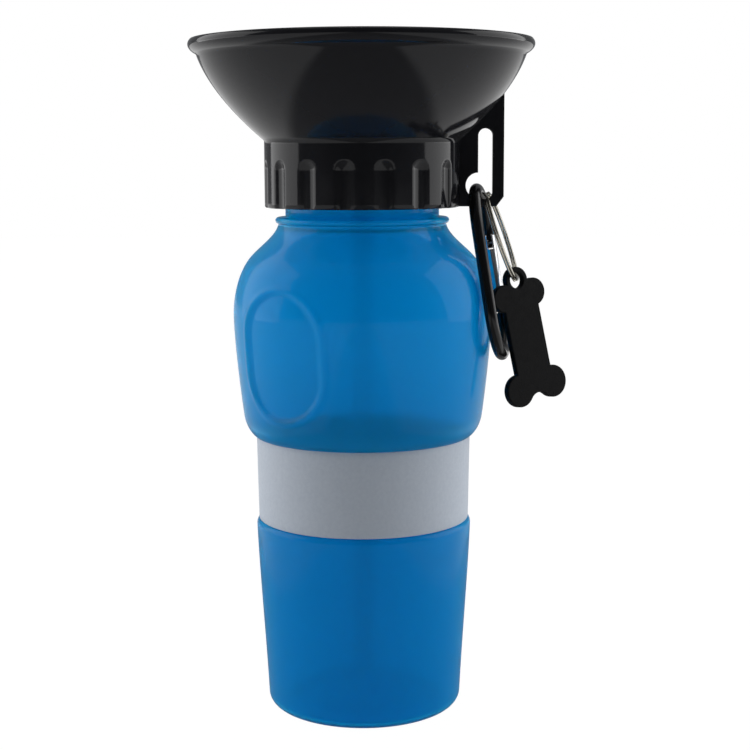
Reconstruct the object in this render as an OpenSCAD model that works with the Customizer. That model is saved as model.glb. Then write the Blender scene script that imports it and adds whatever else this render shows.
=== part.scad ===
// Dog travel water bottle: a squeeze bottle with a drinking bowl that screws onto its neck.
// Squeezing the bulb pushes water up the dip tube into the bowl, and letting go draws it back.
// A keyhole tab on the bowl's collar carries a snap hook and a key ring with a bone-shaped tag.
// Millimetres, +Z up. The origin is the centre of the bottle's foot, and the tab points along +X.

/* [Bottle] */
// Radius of the wall where it leaves the rounded heel
body_foot_r = 32.8; // [31.5:0.1:34]
// Radius of the heel's rounding
heel_r = 4; // [2.5:0.5:6]
// Radius of the lower body just under the grip band
body_top_r = 36.2; // [35.6:0.1:37]
// Height of the lower body, from the foot to the grip band
lower_h = 65; // [55:1:80]
// Rounding of the lower body's top edge
edge_r = 2; // [1:0.25:2.5]
// Radius of the bulb just above its rounded lower edge
bulb_low_r = 39.95; // [39:0.1:41]
// Largest radius of the squeeze bulb
bulb_r = 43.05; // [42:0.1:43.3]
// Height from the grip band to the bulb's widest ring
bulb_h = 40.8; // [36:0.5:46]
// Height from the widest ring to the transfer bead
shoulder_h = 29.9; // [27:0.5:34]
// Wall of the blown bottle
wall = 1.2; // [0.8:0.1:1.6]
// Rise of the pushed-up floor
push_up = 3; // [1:0.5:5]

/* [Squeeze panels] */
// Direction of the first panel, in degrees from the tab
panel_az = -129; // [-180:1:-90]
// Half the width of a panel
panel_r = 15.5; // [13:0.5:18]
// Height of the straight part between a panel's round ends
panel_straight = 11; // [4:0.5:14]
// Height of a panel's centre below the widest ring
panel_drop = 11; // [8:0.5:16]
// Depth of a panel
panel_depth = 0.9; // [0.4:0.1:1.2]

/* [Grip band] */
// Height of the band
band_h = 28.2; // [20:0.2:34]
// Thickness of the band
band_t = 1.1; // [0.8:0.1:1.6]
// How far the band's face lies inside the lower body's edge
band_inset = 0.75; // [0.4:0.05:1]
// How much wider the band is at its top than at its bottom
band_taper = 0.5; // [0:0.05:0.8]

/* [Neck] */
// Outer radius of the neck
neck_r = 25.45; // [24.5:0.05:26.5]
// Wall of the neck
neck_wall = 1.8; // [1.4:0.1:2.4]
// Height of the neck, from the bead to the rim
neck_h = 21; // [20:0.5:24]
// Section radius of the transfer bead
bead_r = 1.05; // [0.8:0.05:1.3]
// How far the shoulder's top stands out from the neck
shoulder_out = 2.3; // [1.5:0.1:3]
// Rise of the thread in one turn
thread_lead = 4.8; // [4.4:0.1:5.4]
// Turns of thread on the neck and in the collar
thread_turns = 1.25; // [1:0.25:1.5]
// Height of a thread's ridge
thread_depth = 1.85; // [1.5:0.05:2]
// Width of a thread's ridge at its foot
thread_w = 2; // [1.6:0.1:2.2]
// Width of a thread's ridge at its crest
thread_crest = 1; // [0.8:0.1:1.2]
// Clearance between the thread's crests and the wall that they face
thread_gap = 0.5; // [0.4:0.05:0.7]
// Height of the gap between the two threads' loaded flanks
flank_gap = 0.4; // [0.3:0.05:0.6]
// Thickness of the gasket
gasket_t = 1.4; // [1:0.1:2]

/* [Collar] */
// Depth of the collar, from its lower edge to its ceiling
collar_h = 19.2; // [18.5:0.1:22]
// Wall of the collar outside the thread
collar_wall = 4.4; // [3.6:0.1:5]
// Number of flutes round the collar
flute_n = 16; // [12:1:20]
// Direction of the first flute, in degrees from the tab
flute_phase = 13; // [0:0.5:22]
// Depth of a flute
flute_depth = 1; // [0.6:0.1:1.4]
// Section radius of a flute
flute_r = 5.5; // [4:0.5:6]
// Height of a flute above the collar's lower edge
flute_h = 15.4; // [12:0.2:16]

/* [Bowl] */
// Radius of the bowl's rolled lip
bowl_r = 57.2; // [55:0.1:60]
// Height of the bowl above its floor
bowl_h = 32.8; // [30:0.2:38]
// Wall of the bowl
bowl_wall = 2; // [1.6:0.1:2.4]
// Thickness of the bowl's floor
floor_t = 2.2; // [1.8:0.1:2.8]
// Fall of the floor from its edge to the drain
floor_fall = 0.6; // [0.2:0.1:1]
// How far the lip stands out from the bowl's wall
lip_out = 2.9; // [2:0.1:3.4]
// Height of the lip's roll
lip_h = 4.6; // [3.6:0.2:5.4]

/* [Dip tube] */
// Outer diameter of the tube
tube_d = 7.6; // [7:0.1:8.5]
// Bore of the tube
tube_bore = 5.6; // [5:0.1:5.8]
// Bore of the spigot and of the bowl's drain
drain_d = 3.8; // [3:0.1:4]
// Length of the spigot under the bowl's ceiling
spigot_h = 12; // [8:0.5:16]
// Gap between the tube's foot and the bottle's floor
tube_gap = 5; // [3:0.5:10]

/* [Tab] */
// Thickness of the tab
tab_t = 3.2; // [2.6:0.1:4]
// Distance from the axis to the tab's outer edge
tab_x = 46.8; // [45.8:0.1:48]
// Width of the tab's outer leg
tab_leg = 3.7; // [3:0.1:4.2]
// Chamfer of the tab's lower corner
tab_chamfer = 2.4; // [1:0.1:2.8]
// Web of the tab under the slot
tab_web = 2.4; // [2:0.1:3]
// Width of the keyhole's slot
slot_w = 4.8; // [4.7:0.05:5.2]
// Height of the keyhole's slot
slot_h = 23.2; // [20:0.2:24]
// Radius of the keyhole's round lobe
lobe_r = 4.2; // [4.1:0.05:4.5]

/* [Snap hook] */
// Diameter of the hook's bar
bar_d = 4; // [3.8:0.1:4.2]
// Length of the hook over its bar
hook_l = 59; // [56:0.5:62]
// Width of the hook over its bar
hook_w = 31.8; // [31:0.1:32]
// Outward lean of the hook at rest on the bulb
hook_lean = 9.9; // [9:0.1:12]
// Turn of the hook about the vertical, its gate outwards
hook_turn = 10.5; // [9:0.5:13]
// Roll of the hook in its own plane, its foot towards -Y
hook_roll = 7.5; // [5:0.5:8]
// Length of straight bar between a bow of the hook and the gate
gate_end = 0.6; // [0.4:0.1:2]
// Thickness of the body's two tongues
tongue_t = 1.6; // [1.2:0.1:1.8]
// Clearance between the gate and the body
gate_gap = 0.35; // [0.3:0.05:0.5]
// Distance from the gate's lower end to its rivet
pivot_up = 2.1; // [1.9:0.1:2.4]
// Diameter of the gate's rivet
rivet_d = 1.5; // [1.2:0.1:1.7]
// Diameter of the latch pin
latch_d = 1.2; // [1:0.1:1.4]
// Distance from the gate's upper end to the latch pin
latch_down = 2.2; // [1.8:0.1:2.6]
// Bore for the gate's spring
spring_bore = 2; // [1.8:0.1:2.2]
// Wire of the gate's spring
spring_wire = 0.35; // [0.3:0.05:0.45]
// Curls of the gate's spring
spring_turns = 6; // [4:1:8]
// Length of the gate's spring
spring_l = 5.6; // [5:0.2:7]
// Length of the plunger
plunger_l = 3.6; // [3:0.1:4.5]

/* [Ring and tag] */
// Outer diameter of the key ring
ring_d = 31.2; // [30:0.1:31.5]
// Width of the ring's wire, measured from its centre outwards
ring_w = 1.4; // [1.2:0.1:1.5]
// Thickness of the ring's two coils together
ring_t = 1.7; // [1.5:0.1:1.8]
// Outward lean of the ring at rest
ring_lean = 19; // [18:0.1:20]
// Turn of the ring about the vertical, its +Y side outwards
ring_turn = 9; // [6:0.5:10]
// Place of the tag on the ring, in degrees from the bottom towards -Y
tag_place = 17; // [12:1:18]
// Thickness of the tag
tag_t = 2.4; // [2:0.1:3]
// Distance from the tag's eye to the centres of its lower lobes
tag_l = 36; // [32:0.2:38]
// Half the distance between the centres of the upper lobes
tag_half = 6; // [5.6:0.1:6.4]
// Half the distance between the centres of the lower lobes
tag_low_half = 7; // [6.6:0.1:7.6]
// Radius of the two upper lobes
lobe_up_r = 4.6; // [4.2:0.1:4.8]
// Radius of the two lower lobes
lobe_low_r = 5.4; // [5:0.1:5.7]
// Half the width of the tag's shaft
shaft_half = 7.1; // [6.4:0.1:7.4]
// Radius of the tag's eye hole
eye_r = 2.7; // [2.4:0.05:2.8]
// Drop of the eye's centre below the ring's wire
eye_drop = 0.6; // [0.3:0.1:0.9]
// Outer radius of the tag's eye
eye_out_r = 4.4; // [4.2:0.05:4.8]
// Thickness of the tag at its eye
eye_t = 1.4; // [1.4:0.1:2]
// Lean of the tag at rest
tag_lean = 11.5; // [9:0.5:14]
// Turn of the tag about its length, its inner lobe towards -Y
tag_turn = 33; // [28:1:36]

/* [Hidden] */
$fn = 96;

// sink lets a cutter or a joined piece pass the face it meets
sink = 0.5;

// Heights along the bottle's axis
band_z = lower_h;
band_top_z = band_z + band_h;
widest_z = band_top_z + bulb_h;
bead_z = widest_z + shoulder_h;
neck_z = bead_z + 2 * bead_r;
rim_z = neck_z + neck_h;
ceiling_z = rim_z + gasket_t;
collar_z = ceiling_z - collar_h;
floor_z = ceiling_z + floor_t;
lip_z = floor_z + bowl_h;

// Radii that follow from the neck and the band
band_out_r = body_top_r - band_inset;
groove_r = band_out_r - band_t;
mouth_r = neck_r - neck_wall;
collar_bore_r = neck_r + thread_depth + thread_gap;
collar_r = collar_bore_r + collar_wall;
gasket_gap = 0.4;

// The bar hangs in the keyhole's lobe and the ring beside it in the foot of the slot
slot_x = tab_x - tab_leg - slot_w / 2;
slot_foot_z = collar_z + tab_web;
hang_gap = 0.35;
lobe_x = slot_x - slot_w / 2 + 0.1;
lobe_z = slot_foot_z + hang_gap + lobe_r;
hook_x = slot_x - slot_w / 2 - 0.25;
hook_y = -0.5;
hook_z = lobe_z - lobe_r + hang_gap + bar_d / 2 + 0.45;
bow_r = (hook_w - bar_d) / 2;
hook_span = hook_l - bar_d;
ring_x = slot_x + slot_w / 2 - hang_gap - 0.4 - ring_t / 2;
ring_mean_r = (ring_d - ring_w) / 2;
ring_z = slot_foot_z + 2 * hang_gap + (ring_w + ring_t * sin(ring_lean)) / 2;

// Heights down the hook's gate side, from the centre of the bar at its top
gate_top = bow_r + gate_end;
gate_foot = hook_span - bow_r - gate_end;
gate_l = gate_foot - gate_top;
pivot_down = gate_foot - pivot_up;
latch_z = gate_top + latch_down;
tongue_end = pivot_down - 2.6;
slot_end = tongue_end - 0.9;
plunger_gap = 0.1;
pin_gap = 0.05;

// A cubic curve from a to d with control points b and c, as n + 1 points
function curve(a, b, c, d, n) =
    [for (i = [0 : n]) let (t = i / n, u = 1 - t)
        u * u * u * a + 3 * u * u * t * b + 3 * u * t * t * c + t * t * t * d];

// An arc about c from angle a0 to a1, as n + 1 points
function arc(c, r, a0, a1, n) =
    [for (i = [0 : n]) let (a = a0 + (a1 - a0) * i / n) c + r * [cos(a), sin(a)]];

// The side to the left of a path at point i, as a unit vector
function side(path, i) =
    let (j = max(i - 1, 0), k = min(i + 1, len(path) - 1), d = path[k] - path[j])
    [-d[1], d[0]] / norm(d);

// A path moved sideways by d, to its left
function inset(path, d) = [for (i = [0 : len(path) - 1]) path[i] + d * side(path, i)];

// Points of a profile closed on the axis, for a solid of revolution
module turned(path) {
    rotate_extrude() polygon(path);
}

// Outline of the lower body, from the heel to its rounded top edge
heel_path = arc([body_foot_r - heel_r, heel_r], heel_r, -90, 0, 6);
lower_path = curve([body_foot_r, heel_r], [body_foot_r + 0.9, lower_h * 0.35],
                   [body_top_r - 0.6, lower_h * 0.7], [body_top_r, lower_h - edge_r], 6);
edge_path = arc([body_top_r - edge_r, lower_h - edge_r], edge_r, 0, 90, 4);

// Outline of the bulb, from its rounded lower edge over the widest ring to the bead
bulb_edge_h = 6.6;
bulb_edge_path = curve([body_top_r, band_top_z], [body_top_r + 1.4, band_top_z + 0.8],
                       [bulb_low_r - 0.55, band_top_z + bulb_edge_h / 2],
                       [bulb_low_r, band_top_z + bulb_edge_h], 5);
bulb_path = curve([bulb_low_r, band_top_z + bulb_edge_h],
                  [bulb_low_r + 0.95, band_top_z + bulb_edge_h + bulb_h * 0.165],
                  [bulb_r, widest_z - bulb_h * 0.22], [bulb_r, widest_z], 8);
haunch_r = 36.2;
haunch_z = widest_z + shoulder_h * 0.665;
haunch_path = curve([bulb_r, widest_z], [bulb_r, widest_z + shoulder_h * 0.25],
                    [haunch_r + 4.4, haunch_z - 4.3], [haunch_r, haunch_z], 8);
throat_r = neck_r + shoulder_out;
throat_path = curve([haunch_r, haunch_z], [haunch_r - 3, haunch_z + 3.1],
                    [throat_r + 0.85, bead_z - 3.8], [throat_r, bead_z], 8);
bead_path = arc([throat_r, bead_z + bead_r], bead_r, -80, 80, 8);

function skip_first(path) = [for (i = [1 : len(path) - 1]) path[i]];

body_path = concat(heel_path, skip_first(lower_path), skip_first(edge_path));
bulb_all_path = concat(bulb_edge_path, skip_first(bulb_path), skip_first(haunch_path),
                       skip_first(throat_path));

// Outside of the bottle: deep takes the bulb in by that much, for the panels' floor
module bottle_outside(deep = 0) {
    turned(concat(
        [[0, 0]], inset(body_path, deep),
        [[groove_r - deep, band_z], [groove_r + band_taper - deep, band_top_z]],
        inset(bulb_all_path, deep), deep == 0 ? bead_path : [],
        [[neck_r - deep, neck_z], [neck_r - deep, rim_z], [0, rim_z]]));
}

// Room inside the bottle: deep takes it in further, behind the panels
module bottle_inside(deep = 0) {
    in = wall + deep;
    turned(concat(
        [[0, push_up + wall], [(body_foot_r - heel_r) * 0.8, push_up * 0.6 + wall]],
        inset(concat(heel_path, skip_first(lower_path)), in),
        [[groove_r - in, band_z - wall], [groove_r + band_taper - in, band_top_z + wall]],
        inset(concat(bulb_edge_path, skip_first(bulb_path), skip_first(haunch_path)), in),
        [for (p = skip_first(inset(throat_path, in))) [max(p[0], mouth_r), p[1]]],
        [[mouth_r, neck_z], [mouth_r, rim_z + sink], [0, rim_z + sink]]));
}

// A squeeze panel's outline, as a prism that starts inside the bulb and reaches past it
module panel_prism(grow) {
    deep = 20;
    translate([0, 0, widest_z - panel_drop]) rotate([90, 0, 90]) translate([0, 0, deep])
        linear_extrude(bulb_r) {
            for (end = [-1, 1]) translate([0, end * panel_straight / 2]) circle(panel_r + grow);
            square([2 * (panel_r + grow), panel_straight], center = true);
        }
}

module panels(grow) {
    for (turn = [0, 180]) rotate(panel_az + turn) panel_prism(grow);
}

// One ridge of thread: a trapezium swept up a helix, its root sunk into the wall it stands on.
// foot_r is the wall's radius, and out is 1 for a ridge that points outwards, -1 for inwards.
module thread(foot_r, z0, out) {
    per_turn = 36;
    steps = thread_turns * per_turn;
    fade = 3;
    function ridge(i) =
        let (a = 360 * i / per_turn, z = z0 + thread_lead * i / per_turn,
             grow = min(1, (i + 0.35) / fade, (steps - i + 0.35) / fade),
             tip = foot_r + out * thread_depth * grow, root = foot_r - out * sink)
        [for (p = [[root, -thread_w / 2], [tip, -thread_crest / 2],
                   [tip, thread_crest / 2], [root, thread_w / 2]])
            [p[0] * cos(a), p[0] * sin(a), z + p[1]]];
    points = [for (i = [0 : steps]) for (p = ridge(i)) p];
    quads = [for (i = [0 : steps - 1]) for (k = [0 : 3])
        [4 * i + k, 4 * i + (k + 1) % 4, 4 * i + 4 + (k + 1) % 4, 4 * i + 4 + k]];
    sides = [for (q = quads) each [[q[0], q[1], q[2]], [q[0], q[2], q[3]]]];
    caps = [[3, 2, 1], [3, 1, 0], [4 * steps, 4 * steps + 1, 4 * steps + 2],
            [4 * steps, 4 * steps + 2, 4 * steps + 3]];
    faces = concat(sides, caps);
    polyhedron(points, out > 0 ? faces : [for (f = faces) [f[2], f[1], f[0]]]);
}

thread_rise = thread_lead * thread_turns;
neck_thread_z = rim_z - 3.6 - thread_rise;
overlap_w = (thread_w + thread_crest) / 2 + 0.1;
collar_thread_z = neck_thread_z - overlap_w + 0.2 - flank_gap;

module bottle() {
    color("royalblue", 0.85) {
        difference() {
            bottle_outside();
            difference() {
                panels(0);
                bottle_outside(panel_depth);
            }
            difference() {
                bottle_inside();
                difference() {
                    panels(wall);
                    bottle_inside(panel_depth);
                }
            }
            foot_recess();
        }
        thread(neck_r, neck_thread_z, 1);
    }
}

// The pushed-up floor, seen from below
module foot_recess() {
    foot_r = body_foot_r - heel_r - 2.5;
    turned([[0, -sink], [foot_r, -sink], [foot_r, 0], [foot_r * 0.8, push_up * 0.6], [0, push_up]]);
}

module grip_band() {
    color("silver")
        turned([[groove_r, band_z], [band_out_r, band_z], [band_out_r + band_taper, band_top_z],
                [groove_r + band_taper, band_top_z]]);
}

module neck_gasket() {
    color("dimgray")
        turned([[mouth_r + gasket_gap, rim_z], [collar_bore_r - gasket_gap, rim_z],
                [collar_bore_r - gasket_gap, ceiling_z], [mouth_r + gasket_gap, ceiling_z]]);
}

// The bowl's outside above the collar
flare_z = ceiling_z + 2.6;
lip_foot_r = bowl_r - lip_out;
lip_foot_z = lip_z - lip_h;
bowl_side_path = curve([collar_r, flare_z], [collar_r + 8.6, flare_z + 7.4],
                       [lip_foot_r - 3.6, lip_foot_z - 10.5], [lip_foot_r, lip_foot_z], 14);
lip_path = curve([lip_foot_r, lip_foot_z], [lip_foot_r + 1.9, lip_foot_z + 0.9],
                 [bowl_r + 0.6, lip_z - 1.9], [bowl_r - 1, lip_z], 8);

module bowl_outside() {
    turned(concat([[0, collar_z], [collar_r - 0.4, collar_z], [collar_r, collar_z + 0.4]],
                  bowl_side_path, skip_first(lip_path), [[0, lip_z]]));
}

module bowl_inside() {
    wall_path = inset(bowl_side_path, bowl_wall);
    floor_edge = [collar_r - 7.5, floor_z + floor_fall];
    top = wall_path[len(wall_path) - 1];
    turned(concat([[0, floor_z], floor_edge, [collar_r - 3.4, floor_z + floor_fall + 0.7]],
                  skip_first(wall_path),
                  [[bowl_r - lip_out - 2, lip_z - 1.4]], [[bowl_r - lip_out - 0.6, lip_z]],
                  [[bowl_r - lip_out - 0.6, lip_z + sink], [0, lip_z + sink]]));
}

module flutes() {
    for (i = [0 : flute_n - 1]) rotate(flute_phase + 360 * i / flute_n)
        translate([collar_r - flute_depth + flute_r, 0, collar_z]) {
            top = sqrt(flute_r * flute_r - pow(flute_r - flute_depth, 2));
            translate([0, 0, -sink]) cylinder(h = flute_h - top + sink, r = flute_r);
            translate([0, 0, flute_h - top]) sphere(flute_r);
        }
}

// The tab's plate with its keyhole, in the X-Z plane
module tab() {
    rotate([90, 0, 0]) linear_extrude(tab_t, center = true) difference() {
        polygon([[collar_bore_r + 1, collar_z], [tab_x - tab_chamfer, collar_z],
                 [tab_x, collar_z + tab_chamfer * 1.35], [tab_x, lip_foot_z],
                 [collar_bore_r + 1, lip_foot_z]]);
        translate([lobe_x, lobe_z]) circle(lobe_r);
        translate([slot_x, slot_foot_z + slot_w / 2]) {
            circle(d = slot_w);
            translate([-slot_w / 2, 0]) square([slot_w, slot_h - slot_w]);
            translate([0, slot_h - slot_w]) circle(d = slot_w);
        }
    }
}

module bowl_cap() {
    color([0.08, 0.08, 0.09]) {
        difference() {
            union() {
                difference() {
                    bowl_outside();
                    flutes();
                }
                tab();
            }
            bowl_inside();
            translate([0, 0, collar_z - sink]) cylinder(h = collar_h + sink, r = collar_bore_r);
            translate([0, 0, ceiling_z - sink]) cylinder(h = floor_t + 2, d = drain_d);
        }
        difference() {
            translate([0, 0, ceiling_z - spigot_h]) cylinder(h = spigot_h + sink, d = tube_bore);
            translate([0, 0, ceiling_z - spigot_h - sink]) cylinder(h = spigot_h + floor_t + 2, d = drain_d);
        }
        thread(collar_bore_r, collar_thread_z, -1);
    }
}

module dip_tube() {
    foot_z = push_up + wall + tube_gap;
    color("aliceblue") translate([0, 0, foot_z]) difference() {
        cylinder(h = ceiling_z - foot_z, d = tube_d);
        translate([0, 0, -sink]) cylinder(h = ceiling_z - foot_z + 2 * sink, d = tube_bore);
    }
}

// The hook's own frame: its bar's centre at the top, the loop hanging down -Z in the Y-Z plane,
// the spine on -Y and the gate on +Y
module in_hook() {
    translate([hook_x, hook_y, hook_z])
        rotate(-hook_turn) rotate([0, -hook_lean, 0]) rotate([-hook_roll, 0, 0]) children();
}

// Half of a bow of the hook, from +Y over the top to -Y
module bow() {
    rotate([90, 0, 90]) rotate_extrude(angle = 180) translate([bow_r, 0]) circle(d = bar_d);
}

// A length of the gate side's bar, from down to down + l
module gate_bar(down, l, d) {
    translate([0, bow_r, -down - l]) cylinder(h = l, d = d);
}

// A slab across the gate side's bar, t thick across the hook's plane
module gate_slab(down, l, t, w) {
    translate([-t / 2, bow_r - w / 2, -down - l]) cube([t, w, l]);
}

tongue_w = bar_d - 0.3;

module carabiner_body() {
    shoulder = gate_foot + gate_gap;
    nose = gate_top - gate_gap;
    nose_l = latch_down + latch_d / 2 + 1.2;
    color([0.08, 0.08, 0.09]) in_hook() {
        translate([0, 0, -bow_r]) bow();
        translate([0, 0, bow_r - hook_span]) rotate([180, 0, 0]) bow();
        translate([0, -bow_r, bow_r - hook_span]) cylinder(h = hook_span - 2 * bow_r, d = bar_d);
        if (nose > bow_r) gate_bar(bow_r, nose - bow_r, bar_d);
        if (hook_span - bow_r > shoulder) gate_bar(shoulder, hook_span - bow_r - shoulder, bar_d);
        difference() {
            gate_slab(nose - sink, nose_l + sink + gate_gap, tongue_t, tongue_w - 0.6);
            translate([-tongue_t, bow_r - tongue_w, -latch_z - latch_d / 2 - 0.25])
                cube([2 * tongue_t, tongue_w + latch_d / 2 + 0.25, latch_d + 0.5]);
        }
        difference() {
            gate_slab(tongue_end, shoulder + sink - tongue_end, tongue_t, tongue_w - 0.6);
            across_hook(pivot_down, rivet_d, 2 * tongue_t);
        }
    }
}

// A round piece across the hook's plane at the gate side
module across_hook(down, d, l) {
    translate([-l / 2, bow_r, -down]) rotate([0, 90, 0]) cylinder(h = l, d = d);
}

module carabiner_gate() {
    fork = tongue_t + 2 * 0.15;
    latch_slot = latch_down + latch_d / 2 + 1.8;
    color("gainsboro") in_hook() difference() {
        union() {
            gate_bar(gate_top, gate_l - pivot_up, bar_d - 0.2);
            intersection() {
                gate_bar(pivot_down - sink, pivot_up + sink, bar_d - 0.2);
                across_hook(pivot_down, 2 * pivot_up, bar_d);
            }
        }
        gate_slab(gate_top - sink, latch_slot + sink, fork, bar_d + 1);
        gate_slab(slot_end, gate_foot - slot_end + sink, fork, bar_d + 1);
        across_hook(pivot_down, rivet_d + 2 * pin_gap, bar_d + 2);
        across_hook(latch_z, latch_d, bar_d + 2);
        gate_bar(slot_end - plunger_l - spring_l, plunger_l + spring_l + sink, spring_bore);
    }
}

module gate_pivot_rivet() {
    color("silver") in_hook() across_hook(pivot_down, rivet_d, bar_d - 0.3);
}

module gate_latch_pin() {
    color("silver") in_hook() across_hook(latch_z, latch_d, bar_d - 0.5);
}

plunger_down = tongue_end - plunger_gap - plunger_l;

module gate_plunger() {
    color("silver") in_hook() gate_bar(plunger_down, plunger_l, spring_bore - 0.2);
}

// A closed tube swept along points, with the given number of sides, flat ends
module tube(path, d, sides) {
    n = len(path);
    function unit(v) = v / norm(v);
    function along(i) = unit(path[min(i + 1, n - 1)] - path[max(i - 1, 0)]);
    points = [for (i = [0 : n - 1])
        let (t = along(i), up = [0, 0, 1], u = unit(cross(up, t)), v = cross(t, u))
        for (k = [0 : sides - 1]) let (a = 360 * k / sides)
            path[i] + d / 2 * (cos(a) * u + sin(a) * v)];
    walls = [for (i = [0 : n - 2]) for (k = [0 : sides - 1])
        let (a = i * sides + k, b = i * sides + (k + 1) % sides)
        each [[a, a + sides, b], [b, a + sides, b + sides]]];
    first = [for (k = [1 : sides - 2]) [0, k, k + 1]];
    last = [for (k = [1 : sides - 2]) let (o = (n - 1) * sides) [o, o + k + 1, o + k]];
    polyhedron(points, concat(walls, first, last));
}

module gate_spring() {
    coil_r = (spring_bore - spring_wire) / 2 - 0.1;
    steps = 8 * spring_turns;
    foot = plunger_down - spring_wire / 2;
    rise = spring_l - plunger_gap - 2 * spring_wire;
    color("silver") in_hook() translate([0, bow_r, -foot])
        tube([for (i = [0 : steps]) let (a = 45 * i)
            [coil_r * cos(a), coil_r * sin(a), rise * i / steps]], spring_wire, 6);
}

// The ring's own frame: its centre, its axis along X
module in_ring() {
    translate([ring_x, 0, ring_z]) rotate(-ring_turn) rotate([0, -ring_lean, 0])
        translate([0, 0, -ring_mean_r]) children();
}

// The two coils of the key ring lie side by side, with a groove between them
module split_ring() {
    groove = 0.25;
    color("gainsboro") in_ring() rotate([0, 90, 0]) rotate_extrude()
        translate([ring_mean_r, 0]) polygon([
                [-ring_w / 2 + 0.3, -ring_t / 2], [ring_w / 2 - 0.3, -ring_t / 2],
                [ring_w / 2, -ring_t / 2 + 0.3], [ring_w / 2, -groove / 2],
                [ring_w / 2 - groove, 0], [ring_w / 2, groove / 2],
                [ring_w / 2, ring_t / 2 - 0.3], [ring_w / 2 - 0.3, ring_t / 2],
                [-ring_w / 2 + 0.3, ring_t / 2], [-ring_w / 2, ring_t / 2 - 0.3],
                [-ring_w / 2, groove / 2], [-ring_w / 2 + groove, 0],
                [-ring_w / 2, -groove / 2], [-ring_w / 2, -ring_t / 2 + 0.3]]);
}

// The tag's outline without its eye, hanging down -Y from the eye's centre
module bone_outline() {
    top = lobe_up_r + 0.5;
    for (end = [-1, 1]) {
        translate([end * tag_half, -top]) circle(lobe_up_r);
        translate([end * tag_low_half, -tag_l]) circle(lobe_low_r);
    }
    translate([-shaft_half, -tag_l]) square([2 * shaft_half, tag_l - top]);

    // The notch is a circle that touches both lower lobes
    notch_r = lobe_low_r * 0.72;
    reach = lobe_low_r + notch_r;
    drop = sqrt(reach * reach - tag_low_half * tag_low_half);
    foot = drop * lobe_low_r / reach;
    difference() {
        translate([-tag_low_half, -tag_l - foot]) square([2 * tag_low_half, foot + sink]);
        translate([0, -tag_l - drop]) circle(notch_r);
    }
}

// The tag's own frame: its eye's centre, the tag hanging down -Z
module in_tag() {
    in_ring() rotate([-tag_place, 0, 0]) translate([0, 0, -ring_mean_r]) rotate([tag_place, 0, 0])
        rotate([0, ring_lean, 0]) rotate(ring_turn)
            rotate([0, -tag_lean, 0]) translate([0, 0, -eye_drop]) children();
}

module bone_tag() {
    color([0.1, 0.1, 0.1]) in_tag() rotate(tag_turn) rotate([90, 0, 0]) {
        linear_extrude(tag_t, center = true) difference() {
            bone_outline();
            circle(eye_out_r - 0.5);
        }
        linear_extrude(eye_t, center = true) difference() {
            circle(eye_out_r);
            circle(eye_r);
        }
    }
}

bottle();
grip_band();
neck_gasket();
bowl_cap();
dip_tube();
carabiner_body();
carabiner_gate();
gate_pivot_rivet();
gate_latch_pin();
gate_spring();
gate_plunger();
split_ring();
bone_tag();
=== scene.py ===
# %% [markdown]
# # A dog's travel water bottle
# A bowl screws onto the neck of a soft blue squeeze bottle. A snap hook and a key ring hang from a
# keyhole tab on the bowl's collar, and a bone-shaped tag hangs from the ring. The frame gives the
# bodies that move and their sizes.

# %% The frame
import math

import bpy
import numpy as np
from mathutils import Matrix, Vector


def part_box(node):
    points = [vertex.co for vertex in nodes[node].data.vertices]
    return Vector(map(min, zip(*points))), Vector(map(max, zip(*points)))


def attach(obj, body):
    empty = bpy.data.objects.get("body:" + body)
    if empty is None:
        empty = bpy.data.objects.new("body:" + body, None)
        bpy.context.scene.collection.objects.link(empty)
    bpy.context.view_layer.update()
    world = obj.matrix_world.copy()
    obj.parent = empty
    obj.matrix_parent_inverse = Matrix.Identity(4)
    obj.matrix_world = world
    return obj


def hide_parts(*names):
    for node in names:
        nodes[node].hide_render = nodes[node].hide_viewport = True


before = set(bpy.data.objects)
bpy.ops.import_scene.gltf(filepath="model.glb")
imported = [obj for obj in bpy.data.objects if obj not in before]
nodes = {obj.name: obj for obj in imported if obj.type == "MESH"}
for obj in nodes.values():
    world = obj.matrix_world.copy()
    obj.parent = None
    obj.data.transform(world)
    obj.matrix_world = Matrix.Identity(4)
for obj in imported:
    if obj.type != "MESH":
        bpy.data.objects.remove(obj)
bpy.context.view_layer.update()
MM = 0.001

# %% [markdown]
# ## The camera
# The lens and the place of the eye come from the photograph: the ellipses of the lip, the band and
# the foot tell how far away it stood and how far it looked down. The picture is turned by a fifth
# of a degree, which a turn about the view axis repeats.

# %% The camera
IMAGE = 750
SENSOR = 36.0
FOCAL_PX = 1550.0
EYE = (4.03 * MM, -516.76 * MM, 186.45 * MM)
PITCH_DOWN = math.radians(8.104)
ROLL = math.radians(-0.214)

camera_data = bpy.data.cameras.new("camera")
camera_data.sensor_width = SENSOR
camera_data.lens = FOCAL_PX / IMAGE * SENSOR
camera_data.clip_start = 0.01
camera = bpy.data.objects.new("camera", camera_data)
bpy.context.scene.collection.objects.link(camera)
look = Matrix.Rotation(math.pi / 2 - PITCH_DOWN, 4, "X") @ Matrix.Rotation(ROLL, 4, "Z")
camera.matrix_world = Matrix.Translation(EYE) @ look
bpy.context.scene.camera = camera
bpy.context.scene.view_settings.view_transform = "Standard"
print("lens", round(camera_data.lens, 2), "mm")

# %% [markdown]
# ## Outlines
# Every turned part starts as an outline: points of radius and height. Cubic curves and arcs draw
# it, so that a soft blown shoulder needs four numbers and not forty.

# %% Curves and arcs
def curve(a, b, c, d, n):
    """n + 1 points of a cubic Bezier curve: the four corners weighted by (1-t)^3 ... t^3."""
    t = np.linspace(0, 1, n + 1)[:, None]
    a, b, c, d = (np.array(p, float) for p in (a, b, c, d))
    return (1 - t) ** 3 * a + 3 * (1 - t) ** 2 * t * b + 3 * (1 - t) * t ** 2 * c + t ** 3 * d


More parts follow.
